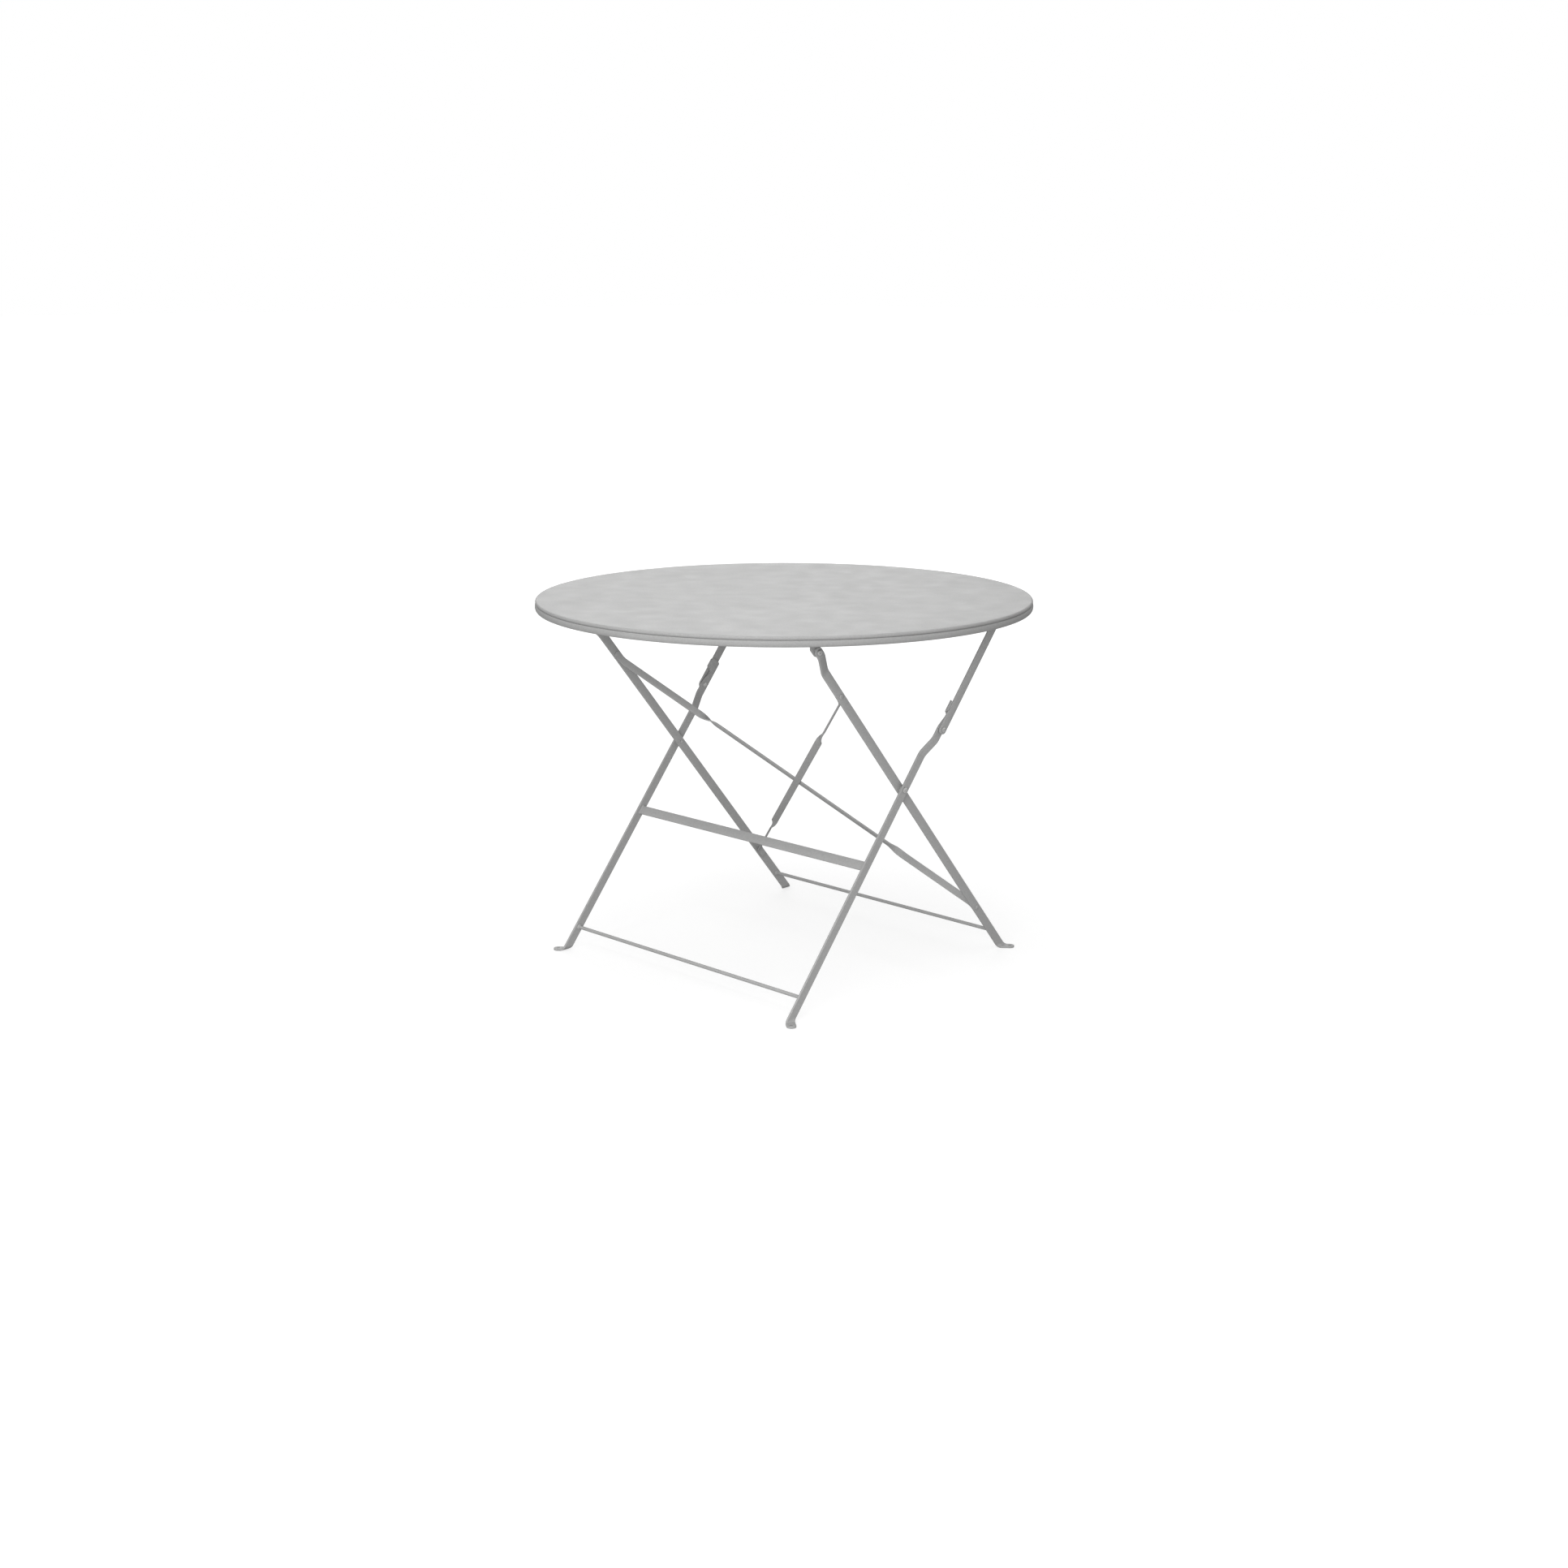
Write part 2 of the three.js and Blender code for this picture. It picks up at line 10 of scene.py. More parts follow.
import bmesh
import bpy
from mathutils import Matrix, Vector

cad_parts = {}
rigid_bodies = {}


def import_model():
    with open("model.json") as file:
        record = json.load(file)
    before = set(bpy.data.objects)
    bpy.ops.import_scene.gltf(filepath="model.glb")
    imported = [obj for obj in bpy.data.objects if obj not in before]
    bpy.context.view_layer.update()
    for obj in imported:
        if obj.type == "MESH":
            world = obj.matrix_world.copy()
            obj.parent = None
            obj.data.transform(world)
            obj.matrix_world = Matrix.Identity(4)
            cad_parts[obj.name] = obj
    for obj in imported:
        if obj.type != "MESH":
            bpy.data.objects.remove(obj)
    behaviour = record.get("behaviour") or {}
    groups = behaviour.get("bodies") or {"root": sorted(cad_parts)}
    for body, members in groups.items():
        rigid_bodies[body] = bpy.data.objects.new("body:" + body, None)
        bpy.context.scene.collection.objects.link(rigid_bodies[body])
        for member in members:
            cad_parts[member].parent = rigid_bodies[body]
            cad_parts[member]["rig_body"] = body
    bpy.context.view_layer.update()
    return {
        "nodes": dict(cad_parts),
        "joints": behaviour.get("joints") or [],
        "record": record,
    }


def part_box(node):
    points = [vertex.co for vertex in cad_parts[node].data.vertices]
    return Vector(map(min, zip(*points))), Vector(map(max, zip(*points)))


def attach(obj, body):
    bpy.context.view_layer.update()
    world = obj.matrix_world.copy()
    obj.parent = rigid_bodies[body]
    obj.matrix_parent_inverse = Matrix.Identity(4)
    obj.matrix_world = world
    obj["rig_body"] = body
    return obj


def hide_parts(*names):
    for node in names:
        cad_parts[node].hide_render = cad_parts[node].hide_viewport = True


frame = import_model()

GAP = 0.0003
QUARTER = math.pi / 2
FULL_TURN = math.pi * 2

# Edges flatter than these angles, in degrees, are shaded smooth
SMOOTH_ANGLE = 35
DISC_SMOOTH_ANGLE = 40
NUT_SMOOTH_ANGLE = 25

# Camera, lights and floor. Azimuth 0 is the side of -Y, and 90 the side of +X
CAMERA_PLACE = (2.848, -2.937, 1.328)
CAMERA_AZIMUTH = math.radians(44.12)
CAMERA_ELEVATION = math.radians(13.54)
CAMERA_LENS = 48.87
ROOM_LIGHT = 0.55
LIGHTS_AIM = (0, 0, 0.4)
FLOOR_REACH = 60
FLOOR_SHADE = 0.45
FLOOR_GLOW = {"near": 0.66, "far": 0.82, "from": 1.4, "to": 5.0}
LIGHTS = {
    "front": {"azimuth": 33, "elevation": 11, "distance": 4.0, "size": 2.6, "power": 84,
              "glare": False},
    "overhead": {"azimuth": 40, "elevation": 80, "distance": 2.8, "size": 2.2, "power": 20},
    "glint": {"azimuth": 6, "elevation": 48, "distance": 3.0, "size": 0.5, "power": 7},
    "backdrop": {"azimuth": 228, "elevation": 24, "distance": 6.0, "size": 4.4, "power": 62},
}

# Stock and edges
BAR_WIDTH = 0.018
BAR_THICKNESS = 0.004
BAR_EDGE = 0.0008
BRACE_WIDTH = 0.014
BRACE_THICKNESS = 0.003
BRACE_EDGE = 0.0006
ROD_RADIUS = 0.0035
PIVOT_RADIUS = 0.003
BRACE_RIVET_RADIUS = 0.0025
EAR = {"thickness": 0.003, "radius": 0.009, "wide": 0.016, "corner": 0.0045, "bend": 0.0035,
       "edge": 0.0005, "least": 0.0011}

# Heads of rivets and bolts. A dome ends in a tiny ring about its pole, of POLE_RADIUS
HEAD_HEIGHT = {"hinge": 0.003, "crossing": 0.003, "knee": 0.0024, "brace": 0.002}
HEAD_SIDE = 0.0005
HEAD_BEVEL = 0.0003
POLE_RADIUS = 0.00002
SHANK_BEVEL = 0.0004
BOLT_BEVEL = 0.0007
SOCKET = {"apothem": 0.002, "depth": 0.0017, "mouth": 0.0001, "clear": 1.15}
NUT_CHAMFER = 0.0007
RING_EDGE = 0.0003

# Weld beads: their size, and their outlines as (distance from the joint, share of that size)
WELD = 0.0024
ROD_BEAD = ((0, 0.8), (0.0006, 1), (0.0016, 0.85), (0.0024, 0.45), (0.0030, 0.12), (0.0034, 0))
CROSSBAR_BEAD = ((0, 0.56), (0.0006, 0.7), (0.0014, 0.525), (0.0022, 0.245), (0.0030, 0))
STITCH = {"length": 0.022, "places": (-0.8, -0.4, 0, 0.4, 0.8)}

# Top and rim
SHEET = 0.0015
SKIRT_HEIGHT = 0.0064
SHOULDER_RADIUS = 0.0036
HOOP_WIDTH = 0.007
HOOP_EDGE = 0.0012
HOOP_BULGE = {"upper": 0.0026, "lower": 0.0034}
TOP_SEGMENTS = 288

# Legs
FOOT_BEND = 0.007
FOOT_HOLE_REACH = 0.015
FOOT_HOLE_RADIUS = 0.003
JOG_FILLET = 0.012
LEG_A_JOG = {"length": 0.045, "below_hinge": 0.011}
LEG_B_JOG = {"length": 0.034, "above_crossing": 0.080}
LEG_B_PAST_KNEE = 0.058
KNEE_OVER_CENTRE = 0.0032
TAPER = {"length": 0.030, "waist": 0.0028}
STOP = {"start": 0.0365, "end": 0.057, "thickness": 0.0028, "bend": 0.0035, "clearance": GAP,
        "rise": 0.0012, "corner": 0.002, "slant": 1.2}

# Braces, by their distance along the leg of frame A
BRACE = {"top": 0.747, "bottom": 0.143, "tab": 0.024, "twist": 0.046, "corner": 0.010}
FRONT_TWISTS = ((0.225, -1), (0.8, -1))
BACK_TWISTS = ((0.245, 1), (0.785, -1))


# ---- What the frame says --------------------------------------------------------------------

def centre(node):
    low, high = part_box(node)
    return (low + high) / 2


def joint_place(name):
    return next(Vector(joint["pos_m"]) for joint in frame["joints"] if joint["name"] == name)


class LegLine:
    """The line of a leg in side view. Along it counts up from the floor, and across it counts a
    quarter turn anticlockwise from that, seen with +Y to the right."""

    def __init__(self, low, high):
        run = Vector((0, high.y - low.y, high.z - low.z)).normalized()
        self.dy, self.dz = run.y, run.z
        self.foot_y = low.y - low.z * run.y / run.z

    def at(self, x, along, across=0.0):
        return Vector((x, self.foot_y + along * self.dy - across * self.dz,
                       along * self.dz + across * self.dy))

    def along(self, place):
        return (place.y - self.foot_y) * self.dy + place.z * self.dz


CROSSING = joint_place("crossing_hinge")
HINGE_A = joint_place("frame_a_hinge")
HINGE_B = joint_place("strut_right_hinge")
KNEE = centre("knee_rivet_head_right")
LINE_A = LegLine(CROSSING, HINGE_A)
LINE_B = LegLine(centre("low_rod_b"), CROSSING)
LEG_A_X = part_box("low_rod_a")[1].x + GAP + BAR_THICKNESS / 2
LEG_B_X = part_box("low_rod_b")[1].x + GAP + BAR_THICKNESS / 2
LEG_A_HINGE_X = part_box("hinge_washer_a_right")[1].x + GAP + BAR_THICKNESS / 2
LEG_B_KNEE_X = centre("knee_rivet_tail_right").x + GAP / 2
STRUT_X = centre("knee_strut_right").x
KNEE_ALONG = LINE_B.along(KNEE)


# ---- Meshes ---------------------------------------------------------------------------------

def mesh_from(name, points, faces, smooth_angle=SMOOTH_ANGLE):
    mesh = bpy.data.meshes.new(name)
    mesh.from_pydata(points, [], faces)
    work = bmesh.new()
    work.from_mesh(mesh)
    bmesh.ops.remove_doubles(work, verts=work.verts, dist=1e-6)
    bmesh.ops.dissolve_degenerate(work, dist=1e-7, edges=work.edges)
    bmesh.ops.recalc_face_normals(work, faces=work.faces)
    work.to_mesh(mesh)
    work.free()
    mesh.shade_smooth()
    mesh.set_sharp_from_angle(angle=math.radians(smooth_angle))
    return mesh


def loft(name, rings, closed=False, smooth_angle=SMOOTH_ANGLE):
    """A skin over rings of points, which all have the same number. Its ends are capped, unless
    the last ring joins the first one."""
    size = len(rings[0])
    faces = []
    for ring in range(len(rings) if closed else len(rings) - 1):
        here = ring * size
        there = (ring + 1) % len(rings) * size
        for i in range(size):
            j = (i + 1) % size
            faces.append((here + i, here + j, there + j, there + i))
    if not closed:
        faces.append(tuple(range(size)))
        faces.append(tuple((len(rings) - 1) * size + i for i in reversed(range(size))))
    return mesh_from(name, [point for ring in rings for point in ring], faces, smooth_angle)


def joined(name, *meshes):
    points, faces = [], []
    for mesh in meshes:
        start = len(points)
        points += [vertex.co.copy() for vertex in mesh.vertices]
        faces += [tuple(start + i for i in face.vertices) for face in mesh.polygons]
        bpy.data.meshes.remove(mesh)
    return mesh_from(name, points, faces)


def mirrored(mesh):
    copy = mesh.copy()
    for vertex in copy.vertices:
        vertex.co.x = -vertex.co.x
    copy.flip_normals()
    return copy


def cut(mesh, cutter):
    """The mesh with the cutter taken out of it."""
    whole = bpy.data.objects.new("whole", mesh)
    tool = bpy.data.objects.new("tool", cutter)
    for part in (whole, tool):
        bpy.context.scene.collection.objects.link(part)
    boolean = whole.modifiers.new("cut", "BOOLEAN")
    boolean.operation = "DIFFERENCE"
    boolean.solver = "EXACT"
    boolean.object = tool
    graph = bpy.context.evaluated_depsgraph_get()
    result = bpy.data.meshes.new_from_object(whole.evaluated_get(graph))
    for part in (whole, tool):
        bpy.data.objects.remove(part)
    result.set_sharp_from_angle(angle=math.radians(SMOOTH_ANGLE))
    return result


def turned_x(name, profile, place, segments=40):
    """A body turned about X through `place`: its profile is a list of (x, radius)."""
    rings = []
    for x, radius in profile:
        ring = []
        for i in range(segments):
            angle = i / segments * FULL_TURN
            ring.append(Vector((x, place.y + radius * math.cos(angle),
                                place.z + radius * math.sin(angle))))
        rings.append(ring)
    return loft(name, rings)


def turned_z(name, profile):
    """A body turned about the table's upright axis: its closed profile is a list of (radius, z)."""
    rings = []
    for i in range(TOP_SEGMENTS):
        angle = i / TOP_SEGMENTS * FULL_TURN
        rings.append([Vector((radius * math.cos(angle), radius * math.sin(angle), z))
                      for radius, z in profile])
    return loft(name, rings, closed=True, smooth_angle=DISC_SMOOTH_ANGLE)


def arc(middle, radius, start, end, steps):
    """Points of a flat arc, from one angle to another, as (a, b) pairs."""
    return [(middle[0] + radius * math.cos(start + (end - start) * i / steps),
             middle[1] + radius * math.sin(start + (end - start) * i / steps))
            for i in range(steps + 1)]


# ---- Flat bar -------------------------------------------------------------------------------

def bar_section(thickness, edge=BAR_EDGE, columns=(0.0,)):
    """A bar's section as (share of the half width, inset from its side, height), all round it.
    `columns` are the shares between its middle and its side that get a point as well."""
    shares = sorted({-share for share in columns} | set(columns))
    half = thickness / 2
    corner = [(edge - across, height)
              for across, height in arc((0, half - edge), edge, 0, QUARTER, 3)]
    points = [(1, inset, -height) for inset, height in reversed(corner)]
    points += [(1, inset, height) for inset, height in corner]
    points += [(share, edge, half) for share in reversed(shares)]
    points += [(-1, inset, height) for inset, height in reversed(corner)]
    points += [(-1, inset, -height) for inset, height in corner]
    points += [(share, edge, -half) for share in shares]
    return points


def bar_ring(section, place, along, left, right=None, tip=0.0, level=0.0):
    """One ring of a bar. `tip` bends the ring into a round end, a quarter turn at its very end,
    and `level` shears it along the bar."""
    right = left if right is None else right
    ring = []
    for share, inset, height in section:
        across = share * ((left if share > 0 else right) - inset)
        reach = along + abs(across) * math.sin(tip) - across * level
        ring.append(place(reach, across * math.cos(tip), height))
    return ring


def tip_rings(section, place, along, half, sign, steps=8):
    """The rings of a round end about `along`, from the bar outwards to the tip."""
    return [bar_ring(section, place, along, half, tip=sign * QUARTER * i / steps)
            for i in range(steps + 1)]


def ramp(along, start, length, fillet):
    """How far up a ramp from 0 to 1 a point is, with both of its ends rounded, and its slope."""
    def climbed(t):
        t = min(max(t + fillet / 2, 0), fillet)
        return t * t / (2 * fillet)

    def risen(t):
        return climbed(t) + max(t - fillet / 2, 0)

    def slope(t):
        return min(max(t + fillet / 2, 0), fillet) / fillet

    share = (risen(along - start) - risen(along - start - length)) / length
    return share, (slope(along - start) - slope(along - start - length)) / length


def eased(share):
    """A share from 0 to 1 that starts and ends gently."""
    return share * share * (3 - 2 * share)


def spread(start, end, step):
    count = max(1, round((end - start) / step))
    return [start + (end - start) * i / count for i in range(count + 1)]


def fold_foot(outward, z):
    """Below the bend the bar is folded outwards about a line along Y, to lie on the floor."""
    bend_start = FOOT_BEND + BAR_THICKNESS / 2
    run = bend_start - z
    if run <= 0:
        return outward, z
    quarter = FOOT_BEND * QUARTER
    angle = min(run, quarter) / FOOT_BEND
    reach = FOOT_BEND - outward
    return (FOOT_BEND + max(run - quarter, 0) - reach * math.cos(angle),
            bend_start - reach * math.sin(angle))


def leg_place(line, x, jog_x, jog_start, jog_length, shift=0.0):
    """The function that lays a leg's flat bar along its line, with its jog and its foot."""
    def place(along, across, height):
        risen, slope = ramp(along, jog_start, jog_length, JOG_FILLET)
        tilt = math.atan(slope * (jog_x - x))
        flat = line.at(0, along - height * math.sin(tilt), across + risen * shift)
        outward, z = fold_foot(risen * (jog_x - x) + height * math.cos(tilt), flat.z)
        return Vector((x + outward, flat.y, z))
    return place


def leg_rings(section, place, line, jog_start, jog_length):
    """A leg's rings from the tip of its foot to past its jog."""
    half = BAR_WIDTH / 2
    bend_start = FOOT_BEND + BAR_THICKNESS / 2
    fold_end = bend_start - FOOT_BEND * QUARTER
    tab = (fold_end - (FOOT_HOLE_REACH - FOOT_BEND)) / line.dz
    level = line.dy / line.dz
    rings = list(reversed(tip_rings(section, place, tab, half, -1)))
    for z in spread(fold_end - 0.0004, bend_start + 0.0004, 0.0009):
        rings.append(bar_ring(section, place, z / line.dz, half, level=level))
    for along in (BAR_WIDTH * 2, BAR_WIDTH * 8):
        rings.append(bar_ring(section, place, along, half))
    jog_end = jog_start + jog_length
    reach = JOG_FILLET / 2
    for along in (spread(jog_start - reach, jog_start + reach, 0.0012)
                  + spread(jog_end - reach, jog_end + reach, 0.0012)):
        rings.append(bar_ring(section, place, along, half))
    return rings


def drill_foot(mesh, line, x):
    bend_start = FOOT_BEND + BAR_THICKNESS / 2
    drop = FOOT_HOLE_REACH - FOOT_BEND + FOOT_BEND * QUARTER - bend_start
    middle = line.at(x + FOOT_HOLE_REACH, -drop / line.dz)
    circle = arc((middle.x, middle.y), FOOT_HOLE_RADIUS, 0, FULL_TURN, 32)[:-1]
    rings = [[Vector((*point, z)) for point in circle] for z in (-0.01, 0.01)]
    return cut(mesh, loft("drill", rings))


def make_leg_a():
    section = bar_section(BAR_THICKNESS)
    hinge = LINE_A.along(HINGE_A)
    length = LEG_A_JOG["length"]
    start = hinge - LEG_A_JOG["below_hinge"] - length
    place = leg_place(LINE_A, LEG_A_X, LEG_A_HINGE_X, start, length)
    rings = leg_rings(section, place, LINE_A, start, length)
    rings += tip_rings(section, place, hinge, BAR_WIDTH / 2, 1)
    return drill_foot(loft("leg_a", rings), LINE_A, LEG_A_X)


def lip_fold(place):
    """Past the bar's edge the stop lip is folded outwards, round the strut's upper edge."""
    radius = STOP["bend"]
    start = BAR_WIDTH / 2 + STOP["clearance"] + STOP["thickness"] / 2 - radius
    thin = STOP["thickness"] / BAR_THICKNESS

    def folded(along, across, height):
        run = across - start
        if run <= 0:
            return place(along, across, height)
        quarter = radius * QUARTER
        share = min(run, quarter) / quarter
        depth = height * (1 + (thin - 1) * share)
        angle = share * QUARTER
        reach = radius - depth
        outward = radius - reach * math.cos(angle) + max(run - quarter, 0)
        return place(along, start + reach * math.sin(angle), outward)
    return folded


def stop_side(past_knee):
    """How far the upper end of leg B reaches to its upper side, laid flat: a long taper, and
    then a flare into the lip, whose far corner is cut off."""
    half, waist = BAR_WIDTH / 2, TAPER["waist"]
    lip = STOP["bend"] * QUARTER + half + STOP["rise"]
    if past_knee < 0:
        return half
    if past_knee < TAPER["length"]:
        share = past_knee / TAPER["length"]
        return half + (waist - half) * (eased(share) + share) / 2
    flare_start, flare_end = TAPER["length"] + 0.001, STOP["start"] + 0.001
    share = (past_knee - flare_start) / (flare_end - flare_start)
    side = waist + (lip - waist) * eased(min(max(share, 0), 1))
    return side - max(past_knee - STOP["end"] + STOP["corner"], 0) * STOP["slant"]


def make_leg_b():
    section = bar_section(BAR_THICKNESS, columns=[i / 14 for i in range(14)])
    crossing = LINE_B.along(CROSSING)
    length = LEG_B_JOG["length"]
    start = crossing + LEG_B_JOG["above_crossing"]
    place = leg_place(LINE_B, LEG_B_X, LEG_B_KNEE_X, start, length, -KNEE_OVER_CENTRE)
    rings = leg_rings(section, place, LINE_B, start, length)
    folded = lip_fold(place)
    half = BAR_WIDTH / 2
    for past in (spread(0, TAPER["length"], 0.003)
                 + spread(TAPER["length"] + 0.0005, STOP["start"] + 0.001, 0.0005)
                 + [0.045] + spread(0.054, LEG_B_PAST_KNEE, 0.0005)):
        right = half - max(past - LEG_B_PAST_KNEE + STOP["corner"], 0)
        rings.append(bar_ring(section, folded, KNEE_ALONG + past, stop_side(past), right))
    return drill_foot(loft("leg_b", rings), LINE_B, LEG_B_X)


def make_strut():
    section = bar_section(BAR_THICKNESS)
    run = Vector((0, HINGE_B.y - KNEE.y, HINGE_B.z - KNEE.z))
    length = run.length
    run.normalize()
    side = Vector((0, -run.z, run.y))
    foot = Vector((STRUT_X, KNEE.y, KNEE.z))

    def place(along, across, height):
        return foot + run * along + side * across + Vector((height, 0, 0))

    half = BAR_WIDTH / 2
    rings = list(reversed(tip_rings(section, place, 0, half, -1)))
    rings += [bar_ring(section, place, length * i / 8, half) for i in range(1, 8)]
    rings += tip_rings(section, place, length, half, 1)
    return loft("knee_strut", rings)


# ---- Braces ---------------------------------------------------------------------------------

def brace_path(twists):
    """Stations of a brace from the left leg down to the right one, as (x, along, edge). `edge`
    is 1 or -1 where the strip stands on edge, and 0 where it lies flat in its frame."""
    inside = LEG_A_X - BAR_THICKNESS / 2 - GAP - BRACE_THICKNESS / 2
    top, bottom, tab, corner = (BRACE[key] for key in ("top", "bottom", "tab", "corner"))
    run = Vector((2 * inside, bottom - top))
    length = run.length
    (upper, upper_turn), (lower, lower_turn) = twists
    end = tab - BRACE_WIDTH / 2

    def on_run(share):
        return -inside + share * run.x, top + share * run.y

    stations = [(-inside, top + end, upper_turn), (-inside, top + corner, upper_turn)]
    bend = 8
    for i in range(1, bend):
        t = i / bend
        x, along = on_run(t * t * corner / length)
        stations.append((x, along + (1 - t) ** 2 * corner, upper_turn))
    half = BRACE["twist"] / 2 / length
    steps = 24
    for middle, turn in twists:
        for i in range(steps + 1):
            share = i / steps
            edge = 1 - eased(share) if middle == upper else eased(share)
            stations.append((*on_run(middle - half + 2 * half * share), turn * edge))
        if middle == upper:
            for i in range(1, 12):
                stations.append((*on_run(upper + half + (lower - upper - 2 * half) * i / 12), 0))
    for i in range(1, bend + 1):
        t = 1 - i / bend
        x, along = on_run(1 - t * t * corner / length)
        stations.append((x, along - (1 - t) ** 2 * corner, lower_turn))
    stations.append((inside, bottom - end, lower_turn))
    return stations


def make_brace(side, twists):
    """A strip that passes the other one on one side, 1 or -1, of the legs' plane."""
    section = bar_section(BRACE_THICKNESS, edge=BRACE_EDGE)
    normal = Vector((0, -LINE_A.dz, LINE_A.dy))
    stations = brace_path(twists)
    middles = [LINE_A.at(x, along) for x, along, _ in stations]
    half = BRACE_WIDTH / 2
    rings = []
    last = len(stations) - 1
    for i, (middle, (_, _, edge)) in enumerate(zip(middles, stations)):
        tangent = (middles[min(i + 1, last)] - middles[max(i - 1, 0)]).normalized()
        in_plane = normal.cross(tangent)
        sin, cos = math.sin(edge * QUARTER), math.cos(edge * QUARTER)
        width = normal * sin + in_plane * cos
        thick = normal * cos - in_plane * sin
        rise = side * (1 - abs(edge)) * (BRACE_THICKNESS + GAP) / 2
        origin = middle + normal * rise

        def place(along, across, height):
            return origin + tangent * along + width * across + thick * height

        if i == 0:
            rings += reversed(tip_rings(section, place, 0, half, -1))
        elif i == last:
            rings += tip_rings(section, place, 0, half, 1)
        else:
            rings.append(bar_ring(section, place, 0, half))
    return loft("brace", rings)


# ---- Cross members --------------------------------------------------------------------------

def make_low_rod(node):
    """A round rod with a weld bead where it meets each leg."""
    place = centre(node)
    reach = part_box(node)[1].x + GAP
    bead = [(reach - along, ROD_RADIUS + WELD * share) for along, share in ROD_BEAD]
    profile = [(-x, radius) for x, radius in bead]
    profile += [(x, ROD_RADIUS) for x in spread(-reach + 0.004, reach - 0.004, 0.05)]
    profile += list(reversed(bead))
    return turned_x("low_rod", profile, place, segments=28)


def make_crossbar():
    """A flat bar with a weld bead round each of its ends."""
    section = bar_section(BAR_THICKNESS)
    middle = centre("crossbar_b")
    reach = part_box("crossbar_b")[1].x + GAP
    side = Vector((0, LINE_B.dy, LINE_B.dz))
    face = Vector((0, -LINE_B.dz, LINE_B.dy))

    def place(along, across, height):
        return Vector((along, middle.y, middle.z)) + side * across + face * height

    def ring(along, grown):
        grown_section = [(share, inset, height * (1 + 2 * grown / BAR_THICKNESS))
                         for share, inset, height in section]
        return bar_ring(grown_section, place, along, BAR_WIDTH / 2 + grown)

    rings = [ring(-reach + along, WELD * share) for along, share in CROSSBAR_BEAD]
    rings += [ring(along, 0) for along in spread(-reach + 0.005, reach - 0.005, 0.05)]
    rings += [ring(reach - along, WELD * share) for along, share in reversed(CROSSBAR_BEAD)]
    return loft("crossbar_b", rings)


# ---- Top ------------------------------------------------------------------------------------

def make_top_sheet():
    """A pressed disc, with a round shoulder that curls under to a hem."""
    _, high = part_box("top_sheet")
    outer, top = high.x, high.z
    shares = (0.97, 0.9, 0.75, 0.5, 0.25, 0.02)
    middle = (outer - SHOULDER_RADIUS, top - SHOULDER_RADIUS)
    inner_radius = SHOULDER_RADIUS - SHEET
    mean_radius = SHOULDER_RADIUS - SHEET / 2
    curl = math.asin((SKIRT_HEIGHT - SHOULDER_RADIUS - SHEET / 2) / mean_radius)
    hem = (middle[0] + mean_radius * math.cos(curl), middle[1] - mean_radius * math.sin(curl))
    profile = arc(middle, SHOULDER_RADIUS, -curl, QUARTER, 12)
    profile += [(outer * share, top) for share in shares]
    profile += [(outer * share, top - SHEET) for share in reversed(shares[1:])]
    profile += arc(middle, inner_radius, QUARTER, -curl, 8)
    profile += arc(hem, SHEET / 2, -curl - math.pi, -curl, 6)
    return closed_middle(turned_z("top_sheet", profile))


def closed_middle(mesh):
    """Fills the small round hole that a turned disc has about its axis."""
    work = bmesh.new()
    work.from_mesh(mesh)
    inner = min(vertex.co.xy.length for vertex in work.verts)
    walls = [face for face in work.faces
             if all(vertex.co.xy.length < inner * 1.01 for vertex in face.verts)]
    bmesh.ops.delete(work, geom=walls, context="FACES")
    edges = [edge for edge in work.edges if edge.is_boundary]
    bmesh.ops.holes_fill(work, edges=edges, sides=0)
    bmesh.ops.recalc_face_normals(work, faces=work.faces)
    work.to_mesh(mesh)
    work.free()
    mesh.shade_smooth()
    mesh.set_sharp_from_angle(angle=math.radians(DISC_SMOOTH_ANGLE))
    return mesh


def make_rim_hoop():
    """A bar with a bulging outer side, rounder below than above, and eased inner edges."""
    low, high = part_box("rim_hoop")
    outer, inner = high.x, high.x - HOOP_WIDTH
    middle, half = (low.z + high.z) / 2, (high.z - low.z) / 2
    profile = []
    for cos, sin in arc((0, 0), 1, -QUARTER, QUARTER, 18):
        bulge = HOOP_BULGE["upper" if sin > 0 else "lower"]
        profile.append((outer - bulge * (1 - cos), middle + half * sin))
    edge = HOOP_EDGE
    profile += arc((inner + edge, high.z - edge), edge, QUARTER, math.pi, 5)
    profile += arc((inner + edge, low.z + edge), edge, math.pi, 3 * QUARTER, 5)
    return turned_z("rim_hoop", profile)


def make_rail():
    """A flat rail with stitch welds along both of its sides."""
    low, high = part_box("top_rail_right")
    section = bar_section(high.z - low.z)
    middle = (low + high) / 2
    half = (high.x - low.x) / 2

    def laid(along, across, height):
        return middle + Vector((across, along, height))

    reach = (high.y - low.y) / 2
    rail = loft("top_rail", [bar_ring(section, laid, along, half)
                             for along in spread(-reach, reach, 0.05)])
    beads = []
    for side in (-1, 1):
        for share in STITCH["places"]:
            place = middle + Vector((side * half, share * reach, high.z - middle.z))
            beads.append(weld_bead(place, side))
    return joined("top_rail", rail, *beads)


